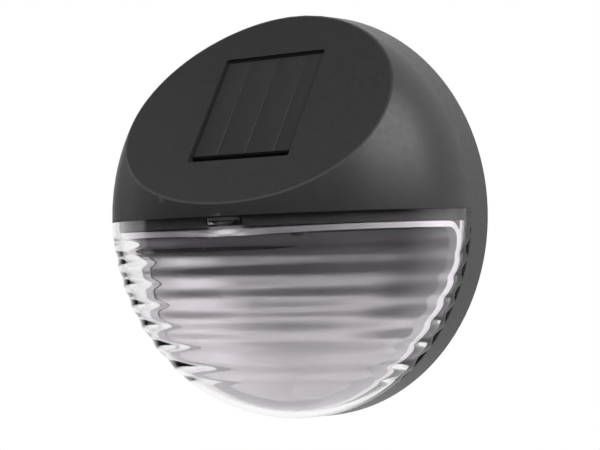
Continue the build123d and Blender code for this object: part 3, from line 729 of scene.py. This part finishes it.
def rim_path():
    """Middle line of the rim bar: the lip under the dome, round corners and the tray's edge."""
    lip_z = TRAY_TOP - RIM_HEIGHT / 2
    mouth = TRAY_BACK + TRAY_SIDE_RISE
    edge_radius = TRAY_RADIUS - RIM_HEIGHT / 2
    half = []
    for step in range(RIM_STEPS + 1):
        radius, depth = dome_point(1 - step / RIM_STEPS, RIM_INSET)
        if depth > mouth + RIM_CORNER:
            half.append(Vector((radius, -depth, lip_z)))
    for step in range(1, RIM_CORNER_STEPS + 1):
        turn = pi / 2 * step / RIM_CORNER_STEPS
        depth = mouth + RIM_CORNER * (1 - sin(turn))
        z = lip_z - RIM_CORNER * (1 - cos(turn))
        half.append(Vector((sqrt(edge_radius ** 2 - z * z), -depth, z)))
    start = asin(-half[-1].z / edge_radius)
    outward = TRAY_RADIUS / edge_radius
    for step in range(1, RIM_STEPS + 1):
        angle = start + (pi / 2 - start) * step / RIM_STEPS
        x = edge_radius * cos(angle)
        z = -edge_radius * sin(angle)
        half.append(Vector((x, -tray_depth(x * outward, z * outward), z)))
    left = [Vector((-point.x, point.y, point.z)) for point in half[1:-1]]
    return half + left[::-1]


def add_tray():
    """The reflector: a curved D-shaped tray with a rim bar all round."""
    bm = bmesh.new()
    bmesh.ops.create_grid(bm, x_segments=TRAY_COLUMNS, y_segments=TRAY_ROWS, size=1)
    top = asin(-TRAY_TOP / TRAY_RADIUS)
    for vert in bm.verts:
        angle = top + (pi / 2 - top) * (1 - vert.co.y) / 2
        x = vert.co.x * TRAY_RADIUS * cos(angle)
        z = -TRAY_RADIUS * sin(angle)
        vert.co = (x, -tray_depth(x, z), z)
    bmesh.ops.remove_doubles(bm, verts=bm.verts, dist=TRAY_WELD)
    bmesh.ops.recalc_face_normals(bm, faces=bm.faces)
    if sum(face.normal.y for face in bm.faces) > 0:
        bmesh.ops.reverse_faces(bm, faces=bm.faces)
    bmesh.ops.solidify(bm, geom=bm.faces[:], thickness=TRAY_WALL)
    path = rim_path()
    places = []
    for index, point in enumerate(path):
        along = (path[(index + 1) % len(path)] - path[index - 1]).normalized()
        outward = Vector((point.x, -hypot(point.x, point.z) * RIM_FORWARD, point.z))
        across = (outward - along * outward.dot(along)).normalized()
        places.append((point, along.cross(across), across))
    half = RIM_HEIGHT / 2
    reach = RIM_DEPTH / 2
    bars = swept_bar(bm, places, [(half, reach), (half, -reach), (-half, -reach), (-half, reach)], True)
    edges = {edge for face in bars for edge in face.edges}
    corners = [edge for edge in edges if edge.calc_face_angle(0) > RIM_EDGE_ANGLE]
    bmesh.ops.bevel(
        bm, geom=corners, offset=RIM_ROUNDING, affect="EDGES", segments=3, profile=0.5, material=-1,
    )
    piece = finish_piece(bm, "reflector_tray", satin_silver())
    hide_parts("reflector")


def add_led_cup(name, material, glow):
    """Lead frame inside one LED: a post with a cup, a second post and the layer that glows."""
    low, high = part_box(name)
    x = (low.x + high.x) / 2
    y = (low.y + high.y) / 2
    flange = high.z - LED_FLANGE_HEIGHT
    cup_z = flange - LED_CUP_BELOW_FLANGE
    cup_x = x - LED_LEAD_SPACING / 4
    bm = bmesh.new()
    # the cup opens downwards, towards the tip
    cup = bmesh.ops.create_cone(
        bm, cap_ends=True, segments=32, radius1=LED_CUP_RADIUS, radius2=LED_CUP_FOOT, depth=LED_CUP_HEIGHT,
        matrix=Matrix.Translation((cup_x, y, cup_z)),
    )
    sides = {face for vert in cup["verts"] for face in vert.link_faces}
    mouth = min(sides, key=lambda face: face.calc_center_median().z)
    bmesh.ops.inset_region(bm, faces=[mouth], thickness=LED_CUP_WALL)
    sunk = bmesh.ops.extrude_discrete_faces(bm, faces=[mouth])["faces"]
    bmesh.ops.translate(bm, vec=(0, 0, LED_CUP_DEPTH), verts=sunk[0].verts)
    axis = Matrix.Translation((-cup_x, -y, -cup_z))
    bmesh.ops.scale(bm, vec=(LED_CUP_TAPER, LED_CUP_TAPER, 1), verts=sunk[0].verts, space=axis)
    for shift, low_end in ((-LED_LEAD_SPACING / 2, cup_z), (LED_LEAD_SPACING / 2, cup_z - LED_POST_REACH)):
        height = high.z - low_end
        place = Matrix.Translation((x + shift, y, low_end + height / 2))
        soft_block(bm, (LED_POST, LED_POST, height), place, LED_POST_ROUNDING)
    finish_piece(bm, name + "_frame", material)
    bm = bmesh.new()
    radius = (LED_CUP_RADIUS - LED_CUP_WALL) * LED_GLOW_SHARE
    dot = bmesh.ops.create_uvsphere(bm, u_segments=24, v_segments=10, radius=radius)
    bmesh.ops.scale(bm, vec=(1, 1, LED_GLOW_FLATNESS), verts=dot["verts"])
    glow_z = cup_z - LED_CUP_HEIGHT / 2 + LED_GLOW_INSIDE
    bmesh.ops.translate(bm, vec=(cup_x, y, glow_z), verts=dot["verts"])
    finish_piece(bm, name + "_phosphor", glow)


def add_floor():
    bm = bmesh.new()
    made = bmesh.ops.create_circle(bm, cap_ends=True, segments=96, radius=FLOOR_RADIUS)
    bmesh.ops.translate(bm, vec=(0, 0, -FLOOR_BELOW), verts=made["verts"])
    mesh = bpy.data.meshes.new("floor")
    bm.to_mesh(mesh)
    bm.free()
    mesh.materials.append(floor_grey())
    floor = bpy.data.objects.new("floor", mesh)
    bpy.context.scene.collection.objects.link(floor)


bpy.context.scene.view_settings.view_transform = "Standard"
add_camera()
add_room()
for lamp_values in LAMPS:
    add_softbox(*lamp_values)
add_floor()
dress_frame()
add_cell_strips()
add_tray()
add_lens()
led_tin = tin()
led_glow = phosphor()
for led_name in ("led_left", "led_right"):
    add_led_cup(led_name, led_tin, led_glow)
